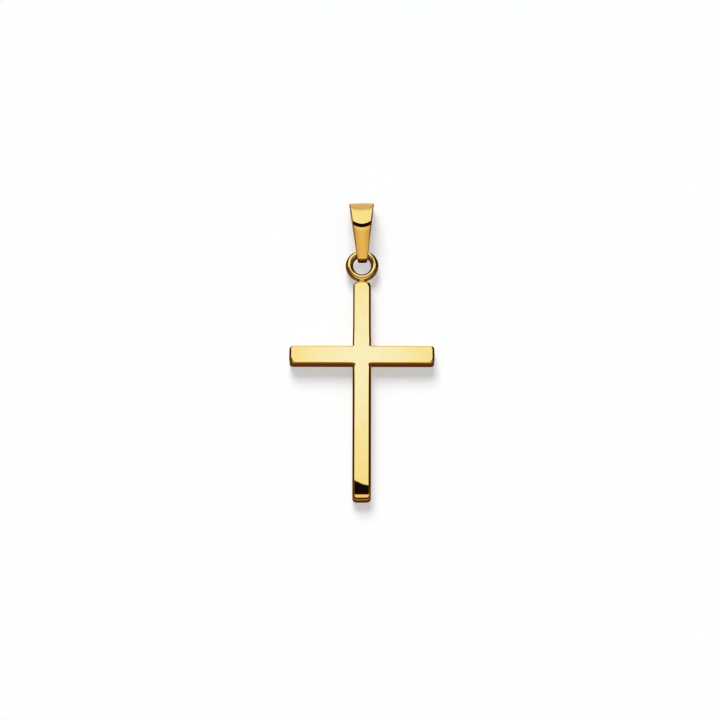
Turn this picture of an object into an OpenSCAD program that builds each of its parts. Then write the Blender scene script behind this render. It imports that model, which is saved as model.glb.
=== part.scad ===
// Latin cross pendant in polished gold, lying on its back, in millimetres.
// +X runs along the arms, +Y points to the bail and +Z points out of the front face.
// The origin is the middle of the bounding box, on the surface that the pendant rests on.

/* [Cross] */
// Span of the arms from end to end
arm_span = 16.0; // [12:0.1:22]
// Height of the head's end above the middle of the arms
head_h = 8.6; // [6:0.01:12]
// Depth of the foot's end below the middle of the arms
foot_h = 16.5; // [10:0.1:24]
// Width of the upright and of the arms
bar_w = 2.0; // [1.6:0.01:3]
// Thickness of the cross from back to front
bar_t = 1.5; // [1:0.05:2.5]
// Rounding of the long edges
edge_r = 0.15; // [0.05:0.01:0.3]
// Radius of the head's corners
head_corner_r = 0.68; // [0.4:0.01:0.75]
// Radius of the foot's corners
foot_corner_r = 0.5; // [0.35:0.01:0.75]
// Radius of the arm ends' corners
arm_corner_r = 0.42; // [0.35:0.01:0.75]
// Radius of the four hollow corners where the bars cross
inner_corner_r = 0.16; // [0.05:0.01:0.5]

/* [Eye ring] */
// Thickness of the ring's wire
wire_d = 0.8; // [0.5:0.01:0.9]
// Diameter of the ring's hole
ring_hole_d = 2.03; // [1.7:0.01:3]
// Space between the head and the ring, which the solder fills
solder_gap = 0.06; // [0:0.01:0.3]
// Width of the solder neck
solder_w = 1.3; // [0.6:0.05:1.5]
// Thickness of the solder neck
solder_t = 0.64; // [0.4:0.01:0.8]
// Depth to which the solder neck reaches into the head
solder_root = 0.3; // [0.1:0.05:0.5]

/* [Bail] */
// Length of the bail from its lower fold to its top
bail_len = 6.97; // [6:0.01:9]
// Depth of the bail from its back leaf to the crest of its front leaf
bail_depth = 2.78; // [2.4:0.01:3.4]
// Thickness of the strip
band_t = 0.33; // [0.25:0.01:0.45]
// Width of the strip at the top
bail_top_w = 2.86; // [2:0.01:4]
// Width of the strip at the lower fold
bail_tip_w = 1.1; // [0.8:0.01:1.4]
// Rounding of the strip's two top corners
bail_top_corner = 0.14; // [0.05:0.01:0.3]
// Cut across the strip's two lower corners
bail_tip_corner = 0.18; // [0.05:0.01:0.3]
// Outer radius of the front leaf's bow
bow_r = 3.4; // [2.8:0.05:4]
// Outer radius of the turn at the top of the back leaf
turn_r = 0.85; // [0.6:0.05:1.05]
// Clear gap between the ring's wire and the inside of the bail
bail_gap = 0.05; // [0.03:0.01:0.15]

/* [Hidden] */
$fn = 96;
gold = [0.91, 0.71, 0.30];
// Straight pieces that stand for each bend of the bail
bend_steps = 20;

ring_r = (ring_hole_d + wire_d) / 2;
ring_y = head_h + solder_gap + ring_hole_d / 2 + wire_d;
wire_y = ring_y + ring_r;

// The wire bends away between the strip's edges, so the lower fold is wider than the wire by that
// bend. With it the bail swings round the wire without touching it.
strip_slope = (bail_top_w - bail_tip_w) / bail_len / 2;
fold_half_w = bail_tip_w / 2 + strip_slope * band_t;
hole_r = ring_hole_d / 2;
wire_bend = hole_r - sqrt(hole_r ^ 2 - fold_half_w ^ 2);
fold_r = (wire_d + wire_bend) / 2 + bail_gap + band_t;

// The ring stands as high as the fold's centre, with the bail's back leaf on the table
ring_z = max(bar_t / 2, fold_r);
back_z = ring_z - fold_r;

// Centres of the bail's three bends, seen from the side as [y, z]
fold_c = [wire_y - wire_bend / 2, ring_z];
bail_tip_y = fold_c[0] - fold_r;
bail_top_y = bail_tip_y + bail_len;
turn_c = [bail_top_y - turn_r, back_z + turn_r];
bow_z = back_z + bail_depth - bow_r;
bow_c = [turn_c[0] - sqrt((bow_r - turn_r) ^ 2 - (turn_c[1] - bow_z) ^ 2), bow_z];

// Directions in degrees, from +Y towards +Z, in which one bend passes into the next
turn_end = atan2(turn_c[1] - bow_c[1], turn_c[0] - bow_c[0]);
leaf_dir = atan2(bow_c[1] - fold_c[1], bow_c[0] - fold_c[0]);
leaf_normal = leaf_dir + acos((fold_r - bow_r) / norm(bow_c - fold_c));

// Middle of the bounding box along Y, from the middle of the arms
mid_y = (bail_top_y - foot_h) / 2;

// Rectangle with round corners, centred on x and standing on y = 0
module round_rect(w, h, r) {
    translate([-w / 2 + r, 0]) square([w - 2 * r, h]);
    translate([-w / 2, r]) square([w, h - 2 * r]);
    for (x = [-w / 2 + r, w / 2 - r], y = [r, h - r])
        translate([x, y]) circle(r);
}

// Bar of the cross's section from y0 to y1, without its ends
module plain_bar(y0, y1) {
    translate([0, y1, 0])
        rotate([90, 0, 0])
            linear_extrude(y1 - y0) round_rect(bar_w, bar_t, edge_r);
}

// Right half of a bar's section with the given half width
module half_section(half_w) {
    intersection() {
        round_rect(2 * half_w, bar_t, edge_r);
        square([half_w, bar_t]);
    }
}

// End of a bar whose corners have radius r, reaching from y = -r to y = 0
module bar_end(r) {
    flat_w = bar_w - 2 * r;
    translate([-flat_w / 2, -r, 0])
        rotate([90, 0, 90])
            linear_extrude(flat_w) half_section(r);
    for (side = [0, 1])
        mirror([side, 0, 0])
            translate([flat_w / 2, -r, 0])
                rotate_extrude(angle = 90) half_section(r);
}

// Fillet of one hollow corner, between the rounded edges
module inner_corner() {
    translate([bar_w / 2, bar_w / 2, edge_r])
        linear_extrude(bar_t - 2 * edge_r)
            difference() {
                translate([-0.1, -0.1]) square(inner_corner_r + 0.1);
                translate([inner_corner_r, inner_corner_r]) circle(inner_corner_r);
            }
}

module cross_body() {
    plain_bar(foot_corner_r - foot_h, head_h - head_corner_r);
    translate([0, head_h, 0]) bar_end(head_corner_r);
    translate([0, -foot_h, 0]) mirror([0, 1, 0]) bar_end(foot_corner_r);
    arm_run = arm_span / 2 - arm_corner_r;
    rotate([0, 0, 90]) plain_bar(-arm_run, arm_run);
    for (turn = [90, -90])
        rotate([0, 0, turn])
            translate([0, arm_span / 2, 0]) bar_end(arm_corner_r);
    for (turn = [0 : 90 : 270])
        rotate([0, 0, turn]) inner_corner();
}

module eye_ring() {
    translate([0, ring_y, ring_z])
        rotate_extrude() translate([ring_r, 0]) circle(d = wire_d);
    translate([-solder_w / 2, head_h - solder_root, ring_z - solder_t / 2])
        cube([solder_w, ring_y - ring_r - head_h + solder_root, solder_t]);
}

module cross() {
    color(gold)
        translate([0, -mid_y, 0]) {
            cross_body();
            eye_ring();
        }
}

function arc_point(centre, r, dir) = centre + r * [cos(dir), sin(dir)];
function arc(centre, r, from, to, first = 0) =
    [for (i = [first : bend_steps]) arc_point(centre, r, from + (to - from) * i / bend_steps)];

// Side view of the bail's loop, drawn in from its outside by the given depth
module loop_shape(depth) {
    polygon(concat(
        arc(turn_c, turn_r - depth, -90, turn_end),
        arc(bow_c, bow_r - depth, turn_end, leaf_normal, 1),
        arc(fold_c, fold_r - depth, leaf_normal, 270)
    ));
}

// Front view of the bail
module strip_shape() {
    top_x = bail_top_w / 2;
    tip_x = bail_tip_w / 2;
    right = [
        [tip_x - bail_tip_corner, bail_tip_y],
        [tip_x + strip_slope * bail_tip_corner, bail_tip_y + bail_tip_corner],
        [top_x - strip_slope * bail_top_corner, bail_top_y - bail_top_corner],
        [top_x - bail_top_corner * 0.3, bail_top_y - bail_top_corner * 0.3],
        [top_x - bail_top_corner, bail_top_y]
    ];
    left = [for (i = [len(right) - 1 : -1 : 0]) [-right[i][0], right[i][1]]];
    polygon(concat(right, left));
}

module bail() {
    color(gold)
        translate([0, -mid_y, 0])
            intersection() {
                translate([-bail_top_w, 0, 0])
                    rotate([90, 0, 90])
                        linear_extrude(2 * bail_top_w)
                            difference() {
                                loop_shape(0);
                                loop_shape(band_t);
                            }
                translate([0, 0, back_z - 1])
                    linear_extrude(bail_depth + 2) strip_shape();
            }
}

cross();
bail();
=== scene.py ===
"""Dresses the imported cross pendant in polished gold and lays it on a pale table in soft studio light."""

import math

import bpy
import numpy as np
from mathutils import Matrix, Vector
from mathutils.geometry import delaunay_2d_cdt


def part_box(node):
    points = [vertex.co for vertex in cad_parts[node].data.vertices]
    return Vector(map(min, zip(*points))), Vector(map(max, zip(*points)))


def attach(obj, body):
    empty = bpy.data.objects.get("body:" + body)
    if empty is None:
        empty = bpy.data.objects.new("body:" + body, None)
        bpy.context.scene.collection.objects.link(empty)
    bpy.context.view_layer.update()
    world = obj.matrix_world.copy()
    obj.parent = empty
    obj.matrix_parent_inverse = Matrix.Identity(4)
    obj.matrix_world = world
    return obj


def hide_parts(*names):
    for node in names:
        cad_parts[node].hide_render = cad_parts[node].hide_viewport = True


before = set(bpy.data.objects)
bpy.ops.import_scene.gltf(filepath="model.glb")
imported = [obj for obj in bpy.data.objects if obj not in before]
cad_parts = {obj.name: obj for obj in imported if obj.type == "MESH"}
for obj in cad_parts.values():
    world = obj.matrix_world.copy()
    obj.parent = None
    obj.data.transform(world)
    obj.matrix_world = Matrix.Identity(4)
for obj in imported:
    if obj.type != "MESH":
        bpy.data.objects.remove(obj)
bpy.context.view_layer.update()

bl_info = {
    "name": "Cross pendant",
    "version": (1, 0, 0),
    "blender": (4, 5, 0),
    "location": "3D View > Sidebar > Pendant",
    "description": "Builds a polished gold cross with its eye ring and bail",
    "category": "Add Mesh",
}

MM = 0.001
CROSS_LOW, CROSS_HIGH = (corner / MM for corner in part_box("cross"))
BAIL_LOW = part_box("bail")[0] / MM

# Fineness of the meshes, as numbers of steps and as distances between points in millimetres
CORNER_STEPS, FACE_EDGE_STEPS, BACK_EDGE_STEPS = 12, 14, 5
OUTLINE_SPACING, FACE_SPACING = 0.3, 0.17
RING_STEPS, WIRE_STEPS = 192, 64
STRIP_STEPS, STRIP_CORNER_STEPS = 16, 5
BAIL_STEPS = {
    "turn": 34, "bow": 44, "front leaf": 14, "front bend": 20, "end": 4, "heel": 24, "back leaf": 18
}

# Places that the finish and the table depend on, in millimetres below the ring's top, and how far they reach
SOLDER_DROP, SOLDER_REACH_ACROSS, SOLDER_REACH_ALONG = 3.5, 0.8, 0.3
RING_DROP, WORN_REACH_ACROSS, WORN_REACH_ALONG, SHADE_REACH = 1.7, 2.2, 2.0, 2.2
# The hole's drop and reach place a patch of painted light on the table inside the eye ring
HOLE_DROP, HOLE_REACH = 1.55, 1.2

# The two runs of fine scratches: how the noise is stretched and turned, its scale, and where it shows
SCRATCH_DETAIL = 3.0
SCRATCH_RUNS = (
    {"stretch": (9.0, 0.7, 3.0), "turn": 0.35, "scale": 1.5, "shown": (0.55, 0.75)},
    {"stretch": (0.8, 11.0, 3.0), "turn": -0.5, "scale": 1.3, "shown": (0.58, 0.78)},
)

# Values of the noise between which smudges and redder patches come up
SMUDGES_SHOWN, PATCHES_SHOWN = (0.4, 0.75), (0.35, 0.7)

# Borders between the studio's panels, from the X (side), Y (head) and Z (up) of the direction to them.
# Each fade says where one panel starts to pass into the next and where it has done so.
FRONT_FADE, FRONT_LOW_FADE = (0.12, 0.36), (0.42, 0.5)
DARK_FRONT_FADE, DARK_FRONT_REACH = (0.2, 0.65), 0.65
FLOOR_FADE, FLOOR_SIDE_FADE = (0.1, 0.2), (0.45, 0.75)
FLOOR_BAND_DEPTH, FLOOR_BAND_REACH = 0.28, 0.2
GAP_FADE, GAP_SIDE_FADE = (-0.014, 0.027), (0.3, 0.5)
BOX_FADE, BOX_HEIGHT_FADE = (0.224, 0.24), (-0.05, 0.42)
HOT_SPOT_HEAD, HOT_SPOT_REACH_ACROSS, HOT_SPOT_REACH_ALONG = 0.2925, 0.0185, 0.024
BOX_RIGHT_SLANT, BOX_RIGHT_FADE = 0.1, (0.45, 0.58)
BOX_LEFT_SLANT, BOX_LEFT_FADE = 0.15, (0.76, 0.9)
BELOW_FADE, BELOW_SIDE_FADE = (-0.05, 0.05), (0.25, 0.45)


def length(name, description, mm):
    """Size that a user gives in the scene's unit, from its value in millimetres."""
    return bpy.props.FloatProperty(
        name=name, description=description, default=mm * MM, unit="LENGTH", precision=5
    )


def angle(name, description, degrees):
    return bpy.props.FloatProperty(
        name=name, description=description, default=math.radians(degrees), subtype="ANGLE"
    )


def amount(name, description, value):
    return bpy.props.FloatProperty(
        name=name, description=description, default=value, subtype="FACTOR"
    )


def number(name, description, value):
    return bpy.props.FloatProperty(name=name, description=description, default=value, precision=4)


def colour(name, description, rgb):
    """Light or metal colour. A light's colour may be stronger than 1."""
    return bpy.props.FloatVectorProperty(
        name=name, description=description, default=rgb, size=3, subtype="COLOR", min=0, soft_max=2
    )


class CrossSizes(bpy.types.PropertyGroup):
    """Sizes of the cross's bars, from the middle of the arms."""

    head_height: length("Head height", "From the middle of the arms to the head's end", 8.6)
    foot_depth: length("Foot depth", "From the middle of the arms to the foot's end", 16.5)
    bar_width: length("Bar width", "Width of the upright", 2.0)
    arm_swell: length("Arm swell", "How much wider the arms are on each side than the upright", 0.03)
    head_corner: length("Head corner", "Radius of the head's two corners", 0.68)
    foot_corner: length("Foot corner", "Radius of the foot's two corners", 0.5)
    arm_corner: length("Arm corner", "Radius of the corners at the arms' ends", 0.42)
    inner_corner: length("Inner corner", "Radius of the hollow corners between the bars", 0.16)
    crease: amount("Crease", "Sine of the angle at which the roundings meet the face", 0.22)
    corner_growth: amount("Corner growth", "How much rounder the corners are at the face", 0.3)
    foot_squareness: amount("Foot squareness", "How much sharper the foot's corners are at the face", 0.8)
    waist: length("Waist", "How much the upper upright draws in on each side", 0.04)
    flare: length("Flare", "How much the upright widens on each side where it meets the arms", 0.04)
    flare_reach: length("Flare reach", "Length over which the flare fades", 0.9)
    arm_edge: length("Arm edge", "Width of the rounding along the arms' lower edges", 0.14)
    arm_top_edge: length("Arm top edge", "Width of the rounding along the arms' upper edges", 0.17)
    end_edge: length("Right end edge", "Width of the rounding at the right arm's end", 0.2)
    left_end_edge: length("Left end edge", "Width of the rounding at the left arm's end", 0.27)
    head_edge: length("Head edge", "Width of the rounding along the upper upright", 0.18)
    head_end_edge: length("Head end edge", "Width of the rounding at the head's end", 0.34)
    left_edge: length("Left edge", "Width of the rounding along the lower upright's left edge", 0.27)
    right_edge: length("Right edge", "Width of the rounding along the lower upright's right edge", 0.24)
    foot_edge: length("Foot edge", "Width of the rounding at the foot's end", 0.6)
    back_edge: length("Back edge", "Width of the rounding along all back edges", 0.1)
    foot_start: length("Foot start", "Where the slope of the polished-off foot starts", 14.63)
    foot_skew: number("Foot skew", "How much sooner the slope starts for each millimetre to the left", 0.506)
    foot_curve: number("Foot curve", "Bend of the line along which the slope starts", 0.106)
    foot_roll: length("Foot roll", "Where the polished-off foot has reached its full slope", 15.93)
    foot_slope: angle("Foot slope", "Full slope of the polished-off foot", 6.4)
    foot_fullness: number("Foot fullness", "How long the foot's rounding stays shallow", 1.5)
    arm_fullness: number("Arm fullness", "The same for the arms' lower edges, which turn down at once", 0.6)


class RingSizes(bpy.types.PropertyGroup):
    """Sizes of the eye ring and of the solder that holds it."""

    wire: length("Wire", "Thickness of the ring's wire", 0.8)
    hole: length("Hole", "Diameter of the ring's hole", 2.03)
    neck_width: length("Solder width", "Width of the solder neck", 0.7)
    neck_depth: length("Solder thickness", "Thickness of the solder neck", 0.6)
    fillet: length("Solder fillet", "How far the solder has crept up the wire and the head", 0.1)


class BailSizes(bpy.types.PropertyGroup):
    """Sizes of the folded strip."""

    length: length("Length", "From the lower fold to the top", 6.953)
    depth: length("Depth", "From the back leaf to the crest of the front leaf", 2.778)
    strip: length("Strip", "Thickness of the strip", 0.33)
    top_width: length("Top width", "Width of the strip at the top", 2.9)
    tip_width: length("Tip width", "Width of the strip at the lower fold", 1.13)
    top_corner: length("Top corner", "Rounding of the strip's top corners", 0.14)
    tip_corner: length("Tip corner", "Rounding of the strip's lower corners", 0.3)
    bow: length("Bow", "Outer radius of the front leaf's bow", 3.32)
    turn: length("Turn", "Outer radius of the turn at the top", 0.85)
    fold_bend: length("Fold bend", "Outer radius of the front bend of the lower fold", 0.5)
    edge: length("Edge", "Rounding of the strip's long edges at the top", 0.13)
    tip_edge: length("Tip edge", "Rounding of the strip's long edges at the lower fold", 0.05)
    dome: length("Dome", "How far the front leaf falls off from its middle to its edges", 0.02)
    back_inset: length("Back inset", "How much narrower the back leaf is on each side", 0.09)
    sweep: length("Sweep", "How much further up the bow lies at its edges than in its middle", 0.75)
    clearance: length("Clearance", "Gap between the ring's wire and the inside of the bail", 0.05)
    lean: angle("Lean", "Sway of the bail to the left, as it lies in the photograph", 1.0)
    lean_height: length("Lean height", "From the ring's centre up to the still point of the sway", 3.3)


class GoldFinish(bpy.types.PropertyGroup):
    """Colour and polish of the gold."""

    gold: colour("Gold", "Colour of the polished gold", (1.0, 0.77, 0.34))
    warm: colour("Warm gold", "Colour of the gold's slightly redder patches", (1.0, 0.755, 0.32))
    solder: colour("Solder", "Colour of the solder at the ring's foot", (0.98, 0.74, 0.33))
    polish: amount("Roughness", "Roughness of the mirror polish", 0.035)
    wear: amount("Wear", "Roughness that handling and fine scratches add", 0.05)
    ring_wear: amount("Ring wear", "Roughness that wear adds on the eye ring", 0.12)
    wave: length("Waviness", "Height of the soft waves that the polishing wheel left", 0.0006)
    scratch: length("Scratches", "Depth of the fine polishing scratches", 0.00005)


class StudioLook(bpy.types.PropertyGroup):
    """Table, lights and camera."""

    softbox: colour("Softbox", "Light of the large softbox towards the head", (0.967, 1.11, 1.42))
    hot_spot: colour("Hot spot", "Light in the middle of the softbox", (0.98, 1.2, 2.06))
    far_softbox: colour("Far softbox", "Light of the softbox near the horizon", (0.76, 0.74, 0.83))
    gap: colour("Gap", "Light of the dark gap overhead", (0.05, 0.03, 0.04))
    overhead: colour("Overhead", "Light from above, on the foot's side of the gap", (0.95, 0.98, 0.98))
    front: colour("Front", "Light from the foot's side", (0.87, 0.81, 0.73))
    front_low: colour("Low front", "Light from the brighter lower part of the foot's side", (0.95, 1.0, 0.92))
    gap_side: colour("Gap's ends", "Light of the overhead gap towards the left and right", (0.3, 0.19, 0.08))
    dark: colour("Dark room", "Light from the room beyond the softbox", (0.155, 0.08, 0.035))
    floor: colour("Floor", "Light that comes up from the floor towards the foot", (0.25, 0.135, 0.095))
    floor_side: colour("Floor at the sides", "Light from the floor to the left and right", (0.5, 0.46, 0.42))
    floor_band: colour("Floor band", "Light from the brighter strip of that floor", (0.9, 0.63, 0.56))
    backdrop: colour("Backdrop", "Wall behind the table", (1.05, 1.05, 1.05))
    dome: colour("Dome", "Even light from all round on the table", (0.31, 0.31, 0.31))
    table: colour("Table", "Colour of the table", (0.52, 0.52, 0.52))
    table_glow: colour("Table glow", "Light that comes through the table", (0.571, 0.577, 0.583))
    # Painted light: the table is brighter inside the eye ring, which lifts the shade there
    hole_painted_light: colour("Glow in the ring", "The same inside the eye ring", (0.645, 0.653, 0.668))
    table_seen: colour("Table in the metal", "Colour of the table where metal mirrors it", (0.06, 0.05, 0.05))
    key: number("Key light", "Strength of the lamp behind the head", 2.5)
    key_height: angle("Key height", "Height of the lamp above the table", 38.5)
    key_turn: angle("Key turn", "How far the lamp stands to the left of the head", 10)
    key_size: angle("Key size", "Width of the lamp, seen from the table", 32)
    contrast: number("Contrast", "Steepness of the picture's tones", 1.85)
    tilt: angle("Camera tilt", "How far the camera leans from overhead towards the foot", 17)
    roll: angle("Camera roll", "How far the camera leans to the left", 0.14)
    distance: length("Camera distance", "From the middle of the arms to the camera", 320)
    lens: number("Lens", "Focal length in millimetres", 145.1)
    shift_right: length("Shift right", "How far the camera stands to the right of the middle", -0.208)
    shift_up: length("Shift up", "How far the camera stands above the middle", -0.635)


class PendantSettings(bpy.types.PropertyGroup):
    """All that a user may change."""

    cross: bpy.props.PointerProperty(type=CrossSizes)
    ring: bpy.props.PointerProperty(type=RingSizes)
    bail: bpy.props.PointerProperty(type=BailSizes)
    gold: bpy.props.PointerProperty(type=GoldFinish)
    studio: bpy.props.PointerProperty(type=StudioLook)


class InMillimetres:
    """Reads a group of sizes in millimetres."""

    def __init__(self, group):
        self.group = group

    def __getattr__(self, name):
        return getattr(self.group, name) / MM


class Wire:
    """Number socket. An expression on it adds the Math nodes that work it out."""

    def __init__(self, graph, socket):
        self.graph = graph
        self.socket = socket

    def __add__(self, other):
        return self.graph.math("ADD", self, other)

    def __sub__(self, other):
        return self.graph.math("SUBTRACT", self, other)

    def __rsub__(self, other):
        return self.graph.math("SUBTRACT", other, self)

    def __mul__(self, other):
        return self.graph.math("MULTIPLY", self, other)

    def __truediv__(self, other):
        return self.graph.math("DIVIDE", self, other)

    def __rtruediv__(self, other):
        return self.graph.math("DIVIDE", other, self)

    def __pow__(self, other):
        return self.graph.math("POWER", self, other)

    def __neg__(self):
        return self.graph.math("MULTIPLY", self, -1.0)

    def __abs__(self):
        return self.graph.math("ABSOLUTE", self)

    __radd__ = __add__
    __rmul__ = __mul__


class Graph:
    """Node tree that is filled from code."""

    def __init__(self, tree):
        self.tree = tree
        tree.nodes.clear()

    def add(self, kind, settings=None, sockets=None):
        """Adds a node: its settings first, then a value or a link for each socket named."""
        node = self.tree.nodes.new(kind)
        for name, value in (settings or {}).items():
            setattr(node, name, value)
        for name, value in (sockets or {}).items():
            value = getattr(value, "socket", value)
            if isinstance(value, bpy.types.NodeSocket):
                self.tree.links.new(value, node.inputs[name])
            else:
                node.inputs[name].default_value = value
        return node

    def wire(self, kind, settings=None, sockets=None, output=0):
        """Adds a node and gives its number output."""
        return Wire(self, self.add(kind, settings, sockets).outputs[output])

    def math(self, operation, *values):
        return self.wire("ShaderNodeMath", {"operation": operation}, dict(enumerate(values)))

    def between(self, value, low, high):
        """Rises smoothly from 0 to 1 while value goes from low to high."""
        return self.wire(
            "ShaderNodeMapRange",
            {"interpolation_type": "SMOOTHSTEP"},
            {"Value": value, "From Min": low, "From Max": high},
        )

    def bump_shape(self, *terms):
        """Bell curve: 1 where all terms are 0, falling to 0 as their squares add up."""
        squares = sum((term * term for term in terms[1:]), terms[0] * terms[0])
        return self.math("EXPONENT", -squares)

    def mix(self, share, a, b):
        """Colour between a and b."""
        node = self.add("ShaderNodeMix", {"data_type": "RGBA"}, {"Factor": share})
        for name, value in (("A", a), ("B", b)):
            socket = next(s for s in node.inputs if s.name == name and s.type == "RGBA")
            if isinstance(value, bpy.types.NodeSocket):
                self.tree.links.new(value, socket)
            else:
                socket.default_value = (*value, 1.0)
        return next(s for s in node.outputs if s.type == "RGBA")


def gold_material(finish):
    """Mirror-polished yellow gold with soft waves, fine scratches and slightly uneven colour."""
    material = bpy.data.materials.new("polished_gold")
    material.use_nodes = True
    g = Graph(material.node_tree)
    place = g.add("ShaderNodeTexCoord").outputs["Object"]
    in_mm = g.add("ShaderNodeVectorMath", {"operation": "SCALE"}, {0: place, "Scale": 1 / MM}).outputs[0]

    def noise(scale, detail=2.0, at=in_mm):
        return g.wire("ShaderNodeTexNoise", {}, {"Vector": at, "Scale": scale, "Detail": detail})

    def scratched(stretch, turn, scale, shown):
        """Fine scratches in one direction, from 0 to 1."""
        sockets = {"Vector": in_mm, "Scale": stretch, "Rotation": (0, 0, turn)}
        stretched = g.add("ShaderNodeMapping", {}, sockets).outputs[0]
        return g.between(noise(scale, SCRATCH_DETAIL, stretched), *shown)

    scratches = scratched(**SCRATCH_RUNS[0]) + scratched(**SCRATCH_RUNS[1])
    smudges = g.between(noise(scale=0.9, detail=4.0), *SMUDGES_SHOWN)
    patches = g.between(noise(scale=0.7), *PATCHES_SHOWN)
    waves = noise(scale=0.45, detail=1.0)

    pos = g.add("ShaderNodeSeparateXYZ", {}, {0: in_mm})
    across, along = Wire(g, pos.outputs[0]), Wire(g, pos.outputs[1])
    near_solder = g.bump_shape(
        across / SOLDER_REACH_ACROSS, (along - (CROSS_HIGH.y - SOLDER_DROP)) / SOLDER_REACH_ALONG
    )
    near_ring = g.bump_shape(
        (across / WORN_REACH_ACROSS) ** 2 + ((along - CROSS_HIGH.y + RING_DROP) / WORN_REACH_ALONG) ** 2
    )
    smudge_share, scratch_share, solder_share = 0.35, 0.5, 0.6
    tone = g.mix(patches, finish.gold, finish.warm)
    tone = g.mix(near_solder * solder_share, tone, finish.solder)
    roughness = finish.polish + finish.wear * (smudges * smudge_share + scratches * scratch_share)
    roughness = roughness + finish.ring_wear * near_ring

    wave_bump = g.add(
        "ShaderNodeBump", {}, {"Height": waves, "Distance": finish.wave, "Strength": 1.0}
    ).outputs[0]
    scratch_bump = g.add(
        "ShaderNodeBump",
        {"invert": True},
        {"Height": scratches, "Distance": finish.scratch, "Strength": 0.5, "Normal": wave_bump},
    ).outputs[0]
    shader = g.add(
        "ShaderNodeBsdfPrincipled",
        {},
        {"Base Color": tone, "Metallic": 1.0, "Roughness": roughness, "Normal": scratch_bump},
    )
    g.add("ShaderNodeOutputMaterial", {}, {"Surface": shader.outputs[0]})
    return material


def shared_gold(settings):
    return bpy.data.materials.get("polished_gold") or gold_material(settings.gold)


def to_row_frame(points, arms_y):
    """Points in millimetres from the middle of the arms, as metres in the row's frame."""
    return [(x * MM, (y + arms_y) * MM, z * MM) for x, y, z in points]


def add_piece(name, node, points, faces, arms_y, material, crease=()):
    """Makes one gold piece that stands for a CAD node. Edges between points of the crease stay sharp."""
    mesh = bpy.data.meshes.new(name)
    mesh.from_pydata(to_row_frame(points, arms_y), [], faces)
    mesh.validate()
    mesh.shade_smooth()
    if crease:
        for edge in mesh.edges:
            edge.use_edge_sharp = edge.vertices[0] in crease and edge.vertices[1] in crease
    mesh.materials.append(material)
    piece = bpy.data.objects.new(name, mesh)
    bpy.context.scene.collection.objects.link(piece)
    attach(piece, "root")
    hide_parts(node)


def arms_height(settings):
    """Row-frame y of the middle of the arms, in millimetres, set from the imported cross."""
    return CROSS_LOW.y + InMillimetres(settings.cross).foot_depth


def cross_corners(s):
    """Corners of the cross, anticlockwise, as x, y, radius and the next edge's rounding.

    The radius of a hollow corner is below 0."""
    half, span, head, foot = s.bar_width / 2, CROSS_HIGH.x, s.head_height, -s.foot_depth
    arm = half + s.arm_swell
    return [
        (half, -arm, -s.inner_corner, s.arm_edge), (span, -arm, s.arm_corner, s.end_edge),
        (span, arm, s.arm_corner, s.arm_top_edge), (half, arm, -s.inner_corner, s.head_edge),
        (half, head, s.head_corner, s.head_end_edge), (-half, head, s.head_corner, s.head_edge),
        (-half, arm, -s.inner_corner, s.arm_top_edge), (-span, arm, s.arm_corner, s.left_end_edge),
        (-span, -arm, s.arm_corner, s.arm_edge), (-half, -arm, -s.inner_corner, s.left_edge),
        (-half, foot, s.foot_corner, s.foot_edge), (half, foot, s.foot_corner, s.right_edge),
    ]


def drawn_in(s, corners, ways, inset):
    """Place and radius of each corner once the outline is drawn in by the share inset of the roundings."""
    hollow_growth, most_of_bar = 0.6, 0.9
    placed = []
    for i, (x, y, radius, edge) in enumerate(corners):
        before, after, edge_before = ways[i - 1], ways[i], corners[i - 1][3]
        left = Vector((-before.y, before.x)) * edge_before + Vector((-after.y, after.x)) * edge
        growth = -s.group.foot_squareness if y < -s.foot_depth / 2 else s.group.corner_growth
        widest = most_of_bar * (s.bar_width / 2 - inset * max(edge, edge_before))
        grown = min(radius * (1 + growth * inset), widest)
        drawn = grown if radius > 0 else radius - hollow_growth * inset * edge
        placed.append((Vector((x, y)) + left * inset, drawn))
    return placed


def flared(s, p, out):
    """A point of the outline after the upright's waist and its flare towards the arms."""
    past = abs(p.y) - s.bar_width / 2
    if past <= 0 or abs(p.x) >= s.bar_width:
        return p
    fade = math.exp(-past / s.flare_reach)
    wider = s.flare * fade
    if p.y > 0:
        wider -= s.waist * (1 - fade)
    return p + Vector((wider * out.x * abs(out.x), 0))


def cross_ring(s, inset, even=None):
    """One level of the cross's outline as (x, y, rounding, share that faces the foot) points.

    The outline is drawn in by the share inset of each edge's rounding. With even, all edges have that
    rounding."""
    corners = [(x, y, r, even or edge) for x, y, r, edge in cross_corners(s)]
    count = len(corners)
    runs = [Vector(corners[(i + 1) % count][:2]) - Vector(corners[i][:2]) for i in range(count)]
    ways = [run.normalized() for run in runs]
    placed = drawn_in(s, corners, ways, inset)
    ring = []
    for i, (corner, radius) in enumerate(placed):
        before, after = ways[i - 1], ways[i]
        edge_before, edge = corners[i - 1][3], corners[i][3]
        size = abs(radius)
        centre = corner + (after - before) * size
        for k in range(CORNER_STEPS + 1):
            turn = math.pi / 2 * k / CORNER_STEPS
            out = before * math.sin(turn) - after * math.cos(turn)
            blended = edge_before + (edge - edge_before) * math.sin(turn) ** 2
            ring.append((centre + out * size, out, blended))
        corner_after, radius_after = placed[(i + 1) % count]
        start, end = corner + after * size, corner_after - after * abs(radius_after)
        steps = max(1, round(runs[i].length / OUTLINE_SPACING))
        for k in range(1, steps):
            ring.append((start.lerp(end, k / steps), Vector((after.y, -after.x)), edge))
    shaped = [(flared(s, p, out), out, edge) for p, out, edge in ring]
    return [(p.x, p.y, edge, max(0.0, -out.y) ** 2) for p, out, edge in shaped]


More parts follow.
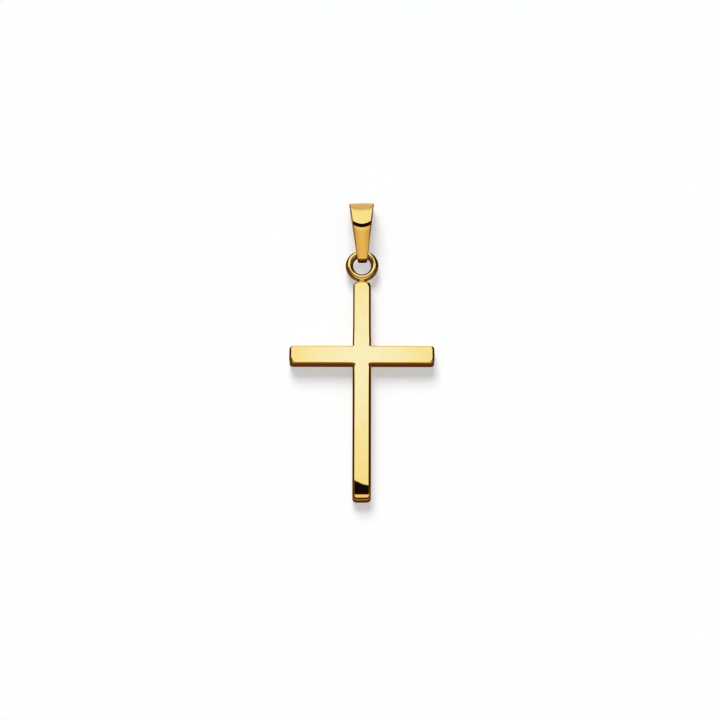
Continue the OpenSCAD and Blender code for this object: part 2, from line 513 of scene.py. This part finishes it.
def edge_profile(crease, steps, fullness=1.0):
    """Rounding of an edge of width 1 as (inset, drop below the face), from the wall to the face.

    Crease is the sine of the angle at which it meets the face, and fullness is 1 for an even bend."""
    slices = 4000
    lean = np.tan(np.arcsin(crease + (1 - crease) * ((np.arange(slices) + 0.5) / slices) ** fullness))
    drop = np.concatenate([[0], np.cumsum(lean) / slices])
    rows = []
    for k in range(steps + 1):
        share = math.cos(math.pi / 2 * k / steps)
        rows.append((1 - share, float(np.interp(share, np.linspace(0, 1, slices + 1), drop))))
    return rows


def fill_flat(rim, inner, upward):
    """Triangles that fill a rim, through the inner points, all in one plane."""
    every = [Vector(p) for p in (*rim, *inner)]
    # The whole hull is filled first. A triangle beyond the rim has no owner and is left out.
    whole_hull, nearest = 0, 1e-7
    verts, _, faces, sources, _, owners = delaunay_2d_cdt(
        every, [], [list(range(len(rim)))], whole_hull, nearest, True
    )
    if len(verts) != len(every):
        raise RuntimeError("the cross's face could not be filled")
    kept = [[sources[i][0] for i in face] for face, owner in zip(faces, owners) if owner]
    return kept if upward else [face[::-1] for face in kept]


def foot_drop(s, x, y):
    """How far the face sinks towards the foot, where polishing has taken more off the left."""
    start = -s.foot_start - s.group.foot_skew * x + s.group.foot_curve * x * x
    past = max(0.0, start - y)
    return math.tan(s.group.foot_slope) * past**2 / (2 * (start + s.foot_roll))


def inner_points(s):
    """Points within the front face, in rows along both bars and clear of the edge roundings."""
    half, span = s.bar_width / 2, CROSS_HIGH.x
    # Rows on each side of a bar's middle, and the space beyond the outer row as a share of their spacing
    rows, rim_gap = 2, 0.2
    side_gap, end_gap = 0.1, 0.15
    clear = s.foot_edge + side_gap
    end_clear = clear + end_gap
    inner = []
    for bar in ("upright", "arms"):
        low, high = (-s.foot_depth, s.head_height) if bar == "upright" else (-span, span)
        steps = int((high - low) / FACE_SPACING)
        for k in range(1, steps):
            along = low + (high - low) * k / steps
            if not low + end_clear < along < high - end_clear:
                continue
            if bar == "arms" and abs(along) < half:
                continue
            for row in range(-rows, rows + 1):
                across = row * (half - clear) / (rows + rim_gap)
                inner.append((across, along) if bar == "upright" else (along, across))
    return inner


def cross_mesh(s):
    """Front and back faces, walls and edge roundings of the cross."""
    thick, bar = CROSS_HIGH.z, s.bar_width
    points = []
    for inset, drop in reversed(edge_profile(0.0, BACK_EDGE_STEPS)):
        points += [(x, y, drop * edge) for x, y, edge, _ in cross_ring(s, inset, s.back_edge)]
    plain, foot, arms = (
        edge_profile(s.group.crease, FACE_EDGE_STEPS, fullness)
        for fullness in (1.0, s.group.foot_fullness, s.group.arm_fullness)
    )
    for (inset, drop), (_, foot_end), (_, arm_low) in zip(plain, foot, arms):
        for x, y, edge, facing in cross_ring(s, inset):
            faced = foot_end if y < -bar else arm_low
            down = (drop + (faced - drop) * facing) * edge
            points.append((x, y, thick - down - foot_drop(s, x, y)))
    count = len(cross_ring(s, 0))
    rings = range(len(points) // count)
    faces = []
    for r in rings[:-1]:
        for i in range(count):
            j = (i + 1) % count
            faces.append((r * count + i, r * count + j, (r + 1) * count + j, (r + 1) * count + i))

    first = (len(rings) - 1) * count
    rim = [p[:2] for p in points[first:]]
    inner = inner_points(s)
    base = len(points)
    for x, y in inner:
        points.append((x, y, thick - foot_drop(s, x, y)))
    index = list(range(first, first + count)) + list(range(base, len(points)))
    faces += [[index[i] for i in f] for f in fill_flat(rim, inner, True)]
    back_rim = [p[:2] for p in points[:count]]
    faces += fill_flat(back_rim, [], False)
    return points, faces, set(range(first, first + count))


def smooth_union(a, b, reach):
    """Distance to two bodies whose joint is filled with a fillet."""
    near = np.maximum(reach - np.abs(a - b), 0) / reach
    return np.minimum(a, b) - near**2 * reach / 4


def rounded_box(past_sides, radius):
    """Distance to a box with rounded edges, from the distances past its sides."""
    past = np.stack(past_sides, -1) + radius
    return np.linalg.norm(np.maximum(past, 0), axis=-1) + np.minimum(past.max(-1), 0) - radius


def ring_mesh(settings):
    """The eye ring with its solder neck, drawn out from the wire's centre line."""
    s, cross = InMillimetres(settings.ring), InMillimetres(settings.cross)
    wire_r = s.wire / 2
    ring_r = (s.hole + s.wire) / 2
    top = CROSS_HIGH.y - arms_height(settings)
    centre = np.array([0, top - ring_r - wire_r, fold_radius(settings)])
    neck_root, neck_round = 0.25, 0.12
    head_half_width, head_half_depth, head_round, head_fillet = 0.75, 0.3, 0.1, 1.6
    neck_low, neck_high = cross.head_height - neck_root, centre[1] - ring_r
    neck_middle, neck_half = (neck_low + neck_high) / 2, (neck_high - neck_low) / 2

    def distance(p):
        rel = p - centre
        wire = np.hypot(np.hypot(rel[..., 0], rel[..., 1]) - ring_r, rel[..., 2]) - wire_r
        neck = rounded_box([
            np.abs(p[..., 0]) - s.neck_width / 2,
            np.abs(p[..., 1] - neck_middle) - neck_half,
            np.abs(rel[..., 2]) - s.neck_depth / 2,
        ], neck_round)
        head = rounded_box([
            np.abs(p[..., 0]) - head_half_width,
            p[..., 1] - cross.head_height,
            np.abs(rel[..., 2]) - head_half_depth,
        ], head_round)
        return smooth_union(smooth_union(wire, neck, s.fillet), head, s.fillet * head_fillet)

    turn = np.linspace(0, 2 * math.pi, RING_STEPS, endpoint=False)[:, None]
    tilt = np.linspace(0, 2 * math.pi, WIRE_STEPS, endpoint=False)[None, :]
    start = centre + ring_r * np.stack([np.sin(turn), np.cos(turn), 0 * turn], -1)
    way = np.stack([
        np.cos(tilt) * np.sin(turn), np.cos(tilt) * np.cos(turn), np.sin(tilt) + 0 * turn
    ], -1)
    first_share, tries, step_share = 0.9, 60, 0.8
    reach = np.full((RING_STEPS, WIRE_STEPS), wire_r * first_share)
    for _ in range(tries):
        reach = reach - distance(start + way * reach[..., None]) * step_share
    # Inside the head the surface stops at a flat floor, out of sight
    depth_in_head, least_fall, no_floor = 0.05, 1e-6, 1e9
    to_floor = cross.head_height - depth_in_head - start[..., 1]
    falls = way[..., 1] < -least_fall
    floor_reach = np.where(falls, to_floor / np.minimum(way[..., 1], -least_fall), no_floor)
    reach = np.minimum(reach, floor_reach)
    points = (start + way * reach[..., None]).reshape(-1, 3)
    return [tuple(p) for p in points], closed_faces(RING_STEPS, WIRE_STEPS)


def closed_faces(rows, columns):
    """Faces of a mesh whose points lie in rows, closed both ways."""
    faces = []
    for i in range(rows):
        k = (i + 1) % rows
        for j in range(columns):
            m = (j + 1) % columns
            faces.append((i * columns + j, i * columns + m, k * columns + m, k * columns + j))
    return faces


def fold_radius(settings):
    """Outer radius of the bail's lower fold. It is also the height of the ring's centre above the table."""
    s, bail = InMillimetres(settings.ring), InMillimetres(settings.bail)
    slope = (bail.top_width - bail.tip_width) / bail.length / 2
    half = bail.tip_width / 2 + slope * bail.strip
    hole_r = s.hole / 2
    bend = hole_r - math.sqrt(hole_r**2 - half**2)
    return (s.wire + bend) / 2 + bail.clearance + bail.strip


def bail_path(settings):
    """Side view of the bail's outside, round the loop from the turn's back.

    Each point is (y, z, outward y, outward z)."""
    s = InMillimetres(settings.bail)
    fold_r = fold_radius(settings)
    low = BAIL_LOW.y - arms_height(settings)
    fold = Vector((low + s.fold_bend, 2 * fold_r - s.fold_bend))
    heel = Vector((low + fold_r, fold_r))
    turn = Vector((low + s.length - s.turn, s.turn))
    bow_z = s.depth - s.bow
    bow = Vector((turn.x - math.sqrt((s.bow - s.turn) ** 2 - (turn.y - bow_z) ** 2), bow_z))
    turn_end = math.atan2(turn.y - bow.y, turn.x - bow.x)
    gap = bow - fold
    leaf = math.atan2(gap.y, gap.x) + math.acos((s.fold_bend - s.bow) / gap.length)
    rows = []

    def bend(stretch, centre, radius, start, end):
        steps = BAIL_STEPS[stretch]
        for k in range(steps):
            a = start + (end - start) * k / steps
            y, z = centre.x + radius * math.cos(a), centre.y + radius * math.sin(a)
            rows.append((y, z, math.cos(a), math.sin(a)))

    def straight(stretch, start, end, a):
        steps = BAIL_STEPS[stretch]
        for k in range(steps):
            p = start.lerp(end, k / steps)
            rows.append((p.x, p.y, math.cos(a), math.sin(a)))

    def rim(centre, radius, a):
        return centre + Vector((math.cos(a), math.sin(a))) * radius

    down, foot = -math.pi / 2, math.pi
    bend("turn", turn, s.turn, down, turn_end)
    bend("bow", bow, s.bow, turn_end, leaf)
    straight("front leaf", rim(bow, s.bow, leaf), rim(fold, s.fold_bend, leaf), leaf)
    bend("front bend", fold, s.fold_bend, leaf, foot)
    straight("end", rim(fold, s.fold_bend, foot), rim(heel, fold_r, foot), foot)
    bend("heel", heel, fold_r, foot, 1.5 * math.pi)
    straight("back leaf", rim(heel, fold_r, down), rim(turn, s.turn, down), down)
    return rows


def clamped(value):
    return min(1.0, max(0.0, value))


def strip_section():
    """Section of the strip, from its front left edge to the right and round its back.

    Each point is its place across and through the strip, both as shares, and how far the edge's rounding
    moves it outwards and inwards, as parts of the rounding's radius."""
    turns = [math.pi / 2 * k / STRIP_CORNER_STEPS for k in range(STRIP_CORNER_STEPS)]
    back_steps = STRIP_STEPS // 2
    return [
        *((2 * k / STRIP_STEPS - 1, 0.0, 0.0, 0.0) for k in range(STRIP_STEPS + 1)),
        *((1, 0.0, math.sin(a), 1 - math.cos(a)) for a in turns[1:]),
        *((1, 1.0, math.cos(a), math.sin(a) - 1) for a in turns),
        *((1 - 2 * k / back_steps, 1.0, 0.0, 0.0) for k in range(back_steps + 1)),
        *((-1, 1.0, -math.sin(a), math.cos(a) - 1) for a in turns[1:]),
        *((-1, 0.0, -math.cos(a), 1 - math.sin(a)) for a in turns),
    ]


def bail_mesh(settings):
    """The tapered strip, folded round the ring and closed behind, with a softly domed front."""
    s = InMillimetres(settings.bail)
    low = BAIL_LOW.y - arms_height(settings)
    high = low + s.length
    slope = (s.top_width - s.tip_width) / s.length / 2

    def half_width(y):
        wide = s.tip_width / 2 + slope * (y - low)
        past_top, past_tip = y - (high - s.top_corner), low + s.tip_corner - y
        for past, r in ((past_top, s.top_corner), (past_tip, s.tip_corner)):
            if past > 0:
                wide -= r - math.sqrt(max(0.0, r**2 - min(past, r) ** 2))
        return wide

    # Outward z below which the back leaf's inset starts, and to each side of 0 within which the dome fades
    inset_z, dome_z = 0.3, 0.35
    # How much flatter the dome is inside the strip than outside, and where below the top the sweep fades
    dome_thinning, sweep_fade = 0.6, 0.8
    # Share of the bail's length up to which the edges keep their lower rounding
    plain_tip = 0.375
    points = []
    path, section = bail_path(settings), strip_section()
    for y, z, out_y, out_z in path:
        wide = half_width(y) - s.back_inset * clamped(inset_z - out_z)
        front = clamped((out_z + dome_z) / (2 * dome_z))
        bow = max(0.0, out_z) ** 2
        rise = clamped(((y - low) / s.length - plain_tip) / (1 - plain_tip))
        edge = s.tip_edge + (s.edge - s.tip_edge) * rise
        for u, through, outwards, inwards in section:
            x = u * (wide - edge) + outwards * edge
            off_middle = (x / (s.top_width / 2)) ** 2
            depth = through * s.strip + inwards * edge
            depth += s.dome * front * off_middle * (1 - dome_thinning * depth / s.strip)
            swept = s.sweep * bow * off_middle * min(1.0, (high - y) / sweep_fade)
            points.append((x, y + swept - out_y * depth, z - out_z * depth))
    faces = [(a, d, c, b) for a, b, c, d in closed_faces(len(path), len(section))]
    return swayed(points, settings), faces


def swayed(points, settings):
    """The bail's points after its small sway on the eye ring."""
    s = InMillimetres(settings.bail)
    ring = InMillimetres(settings.ring)
    lean = settings.bail.lean
    still = CROSS_HIGH.y - arms_height(settings) - ring.hole / 2 - ring.wire + s.lean_height
    return [
        (
            x * math.cos(lean) - (y - still) * math.sin(lean),
            still + (y - still) * math.cos(lean) + x * math.sin(lean),
            z,
        )
        for x, y, z in points
    ]


class PENDANT_OT_cross(bpy.types.Operator):
    """Builds the solid cross with its polished edges"""

    bl_idname = "pendant.cross"
    bl_label = "Cross"

    def execute(self, context):
        settings = context.scene.pendant
        points, faces, crease = cross_mesh(InMillimetres(settings.cross))
        add_piece("cross_bars", "cross", points, faces, arms_height(settings), shared_gold(settings), crease)
        return {"FINISHED"}


class PENDANT_OT_eye_ring(bpy.types.Operator):
    """Builds the eye ring with the solder that joins it to the head"""

    bl_idname = "pendant.eye_ring"
    bl_label = "Eye ring"

    def execute(self, context):
        settings = context.scene.pendant
        points, faces = ring_mesh(settings)
        add_piece("eye_ring", "cross", points, faces, arms_height(settings), shared_gold(settings))
        return {"FINISHED"}


class PENDANT_OT_bail(bpy.types.Operator):
    """Builds the tapered bail that is folded through the eye ring"""

    bl_idname = "pendant.bail"
    bl_label = "Bail"

    def execute(self, context):
        settings = context.scene.pendant
        points, faces = bail_mesh(settings)
        add_piece("bail_strip", "bail", points, faces, arms_height(settings), shared_gold(settings))
        return {"FINISHED"}


def build_light(studio):
    """Soft light from all round: a large softbox towards the head, a dark gap overhead and pale walls."""
    world = bpy.data.worlds.new("studio_light")
    world.use_nodes = True
    bpy.context.scene.world = world
    g = Graph(world.node_tree)
    way = g.add("ShaderNodeSeparateXYZ", {}, {0: g.add("ShaderNodeTexCoord").outputs["Generated"]})
    side, head, up = (Wire(g, way.outputs[i]) for i in range(3))

    front = g.mix(g.between(-head, *FRONT_FADE), studio.overhead, studio.front)
    front = g.mix(g.between(-head, *FRONT_LOW_FADE), front, studio.front_low)
    lit_front = g.between(up, *DARK_FRONT_FADE) * g.bump_shape(side / DARK_FRONT_REACH)
    front = g.mix(lit_front, studio.dark, front)
    band = g.bump_shape((up + FLOOR_BAND_DEPTH) / FLOOR_BAND_REACH)
    under = g.mix(band, studio.floor, studio.floor_band)
    under = g.mix(g.between(abs(side), *FLOOR_SIDE_FADE), under, studio.floor_side)
    front = g.mix(g.between(-up, *FLOOR_FADE), front, under)

    gap = g.mix(g.between(abs(side), *GAP_SIDE_FADE), studio.gap, studio.gap_side)
    light = g.mix(g.between(head, *GAP_FADE), front, gap)

    box = g.mix(g.between(up, *BOX_HEIGHT_FADE), studio.far_softbox, studio.softbox)
    spot = g.bump_shape(
        (side / HOT_SPOT_REACH_ACROSS) ** 2 + ((head - HOT_SPOT_HEAD) / HOT_SPOT_REACH_ALONG) ** 2
    )
    box = g.mix(spot, box, studio.hot_spot)
    past_right = g.between(side + BOX_RIGHT_SLANT * head, *BOX_RIGHT_FADE)
    past_left = g.between(BOX_LEFT_SLANT * head - side, *BOX_LEFT_FADE)
    below = g.between(-up, *BELOW_FADE) * g.between(abs(side), *BELOW_SIDE_FADE)
    for outside in (past_right, past_left, below):
        box = g.mix(outside, box, studio.dark)
    light = g.mix(g.between(head, *BOX_FADE), light, box)

    light = g.mix(g.wire("ShaderNodeLightPath", output="Is Diffuse Ray"), light, studio.dome)
    light = g.mix(g.wire("ShaderNodeLightPath", output="Is Camera Ray"), light, studio.backdrop)
    shader = g.add("ShaderNodeBackground", {}, {"Color": light, "Strength": 1.0})
    g.add("ShaderNodeOutputWorld", {}, {"Surface": shader.outputs[0]})

    lamp = bpy.data.lights.new("key_lamp", "SUN")
    lamp.energy = studio.key
    lamp.angle = studio.key_size
    key = bpy.data.objects.new("key_lamp", lamp)
    height, turn = studio.key_height, studio.key_turn
    flat = math.cos(height)
    towards = Vector((-math.sin(turn) * flat, math.cos(turn) * flat, math.sin(height)))
    key.rotation_euler = towards.to_track_quat("Z", "Y").to_euler()
    key.visible_glossy = False
    bpy.context.scene.collection.objects.link(key)


def build_table(studio):
    """Plain pale table just under the pendant. Metal mirrors it dimly, with what lies beyond it, and darker
    round the eye ring, where shade is painted. Inside the eye ring the table is brighter, with painted light.
    """
    mesh = bpy.data.meshes.new("table")
    far, low = 2.0, -0.002 * MM
    corners = [(-far, -far, low), (far, -far, low), (far, far, low), (-far, far, low)]
    mesh.from_pydata(corners, [], [(0, 1, 2, 3)])
    material = bpy.data.materials.new("pale_table")
    material.use_nodes = True
    g = Graph(material.node_tree)

    def surface(kind, rgb):
        return g.add(kind, {}, {"Color": (*rgb, 1.0)}).outputs[0]

    def both(a, b):
        return g.add("ShaderNodeAddShader", {}, {0: a, 1: b}).outputs[0]

    def mixed(share, a, b):
        return g.add("ShaderNodeMixShader", {}, {"Fac": share, 1: a, 2: b}).outputs[0]

    place = g.add("ShaderNodeSeparateXYZ", {}, {0: g.add("ShaderNodeTexCoord").outputs["Object"]})
    across, along = Wire(g, place.outputs[0]) / MM, Wire(g, place.outputs[1]) / MM
    # Patch of painted light inside the eye ring, where the table would lie in shade
    painted_light_in_hole = g.bump_shape(
        (across / HOLE_REACH) ** 2 + ((along - CROSS_HIGH.y + HOLE_DROP) / HOLE_REACH) ** 2
    )
    near_ring = g.bump_shape(
        (across / SHADE_REACH) ** 2 + ((along - CROSS_HIGH.y + RING_DROP) / SHADE_REACH) ** 2
    )
    cloth = surface("ShaderNodeBsdfDiffuse", studio.table)
    plain = both(cloth, surface("ShaderNodeEmission", studio.table_glow))
    bright = both(cloth, surface("ShaderNodeEmission", studio.hole_painted_light))
    dim = surface("ShaderNodeBsdfDiffuse", studio.table_seen)
    clear = both(dim, surface("ShaderNodeBsdfTransparent", (1.0, 1.0, 1.0)))
    # Painted shade: round the ring the metal mirrors the table darker, as if it lay in the ring's shadow
    ring_shade = 0.75
    mirrored = mixed(near_ring * ring_shade, clear, dim)
    seen = mixed(painted_light_in_hole, plain, bright)
    by_ray = mixed(g.wire("ShaderNodeLightPath", output="Is Camera Ray"), mirrored, seen)
    g.add("ShaderNodeOutputMaterial", {}, {"Surface": by_ray})
    mesh.materials.append(material)
    table = bpy.data.objects.new("table", mesh)
    bpy.context.scene.collection.objects.link(table)


def place_camera(settings):
    """Camera above the foot's side, as far away and as tilted as the photograph's."""
    studio = settings.studio
    data = bpy.data.cameras.new("camera")
    data.lens = studio.lens
    data.clip_start, data.clip_end = 0.01, 10
    camera = bpy.data.objects.new("camera", data)
    back = Vector((0, -math.sin(studio.tilt), math.cos(studio.tilt)))
    level = Vector((1, 0, 0))
    right = level * math.cos(studio.roll) + back.cross(level) * math.sin(studio.roll)
    up = back.cross(right)
    target = Vector((0, arms_height(settings), CROSS_HIGH.z)) * MM
    camera.location = target + back * studio.distance + right * studio.shift_right + up * studio.shift_up
    camera.rotation_euler = Matrix((right, up, back)).transposed().to_euler()
    bpy.context.scene.collection.objects.link(camera)
    bpy.context.scene.camera = camera


class PENDANT_OT_studio(bpy.types.Operator):
    """Sets up the pale table, the soft light and the camera"""

    bl_idname = "pendant.studio"
    bl_label = "Studio"

    def execute(self, context):
        settings = context.scene.pendant
        build_light(settings.studio)
        build_table(settings.studio)
        place_camera(settings)
        view = context.scene.view_settings
        view.view_transform = "Standard"
        view.look = "None"
        view.gamma = 1 / settings.studio.contrast
        return {"FINISHED"}


class PENDANT_PT_panel(bpy.types.Panel):
    """Lists the pendant's pieces"""

    bl_idname = "PENDANT_PT_panel"
    bl_label = "Cross pendant"
    bl_space_type = "VIEW_3D"
    bl_region_type = "UI"
    bl_category = "Pendant"

    def draw(self, context):
        settings = context.scene.pendant
        groups = (
            (PENDANT_OT_cross, "cross"), (PENDANT_OT_eye_ring, "ring"), (PENDANT_OT_bail, "bail"),
            (None, "gold"), (PENDANT_OT_studio, "studio"),
        )
        for operator, name in groups:
            box = self.layout.box()
            if operator:
                box.operator(operator.bl_idname)
            group = getattr(settings, name)
            for key in type(group).__annotations__:
                box.prop(group, key)


CLASSES = (
    CrossSizes, RingSizes, BailSizes, GoldFinish, StudioLook, PendantSettings,
    PENDANT_OT_cross, PENDANT_OT_eye_ring, PENDANT_OT_bail, PENDANT_OT_studio, PENDANT_PT_panel,
)


def register():
    for cls in CLASSES:
        bpy.utils.register_class(cls)
    bpy.types.Scene.pendant = bpy.props.PointerProperty(type=PendantSettings)


def unregister():
    del bpy.types.Scene.pendant
    for cls in reversed(CLASSES):
        bpy.utils.unregister_class(cls)


def main():
    """Builds every piece and the studio."""
    register()
    bpy.ops.pendant.cross()
    bpy.ops.pendant.eye_ring()
    bpy.ops.pendant.bail()
    bpy.ops.pendant.studio()
    bpy.context.view_layer.update()


if __name__ == "__main__":
    main()
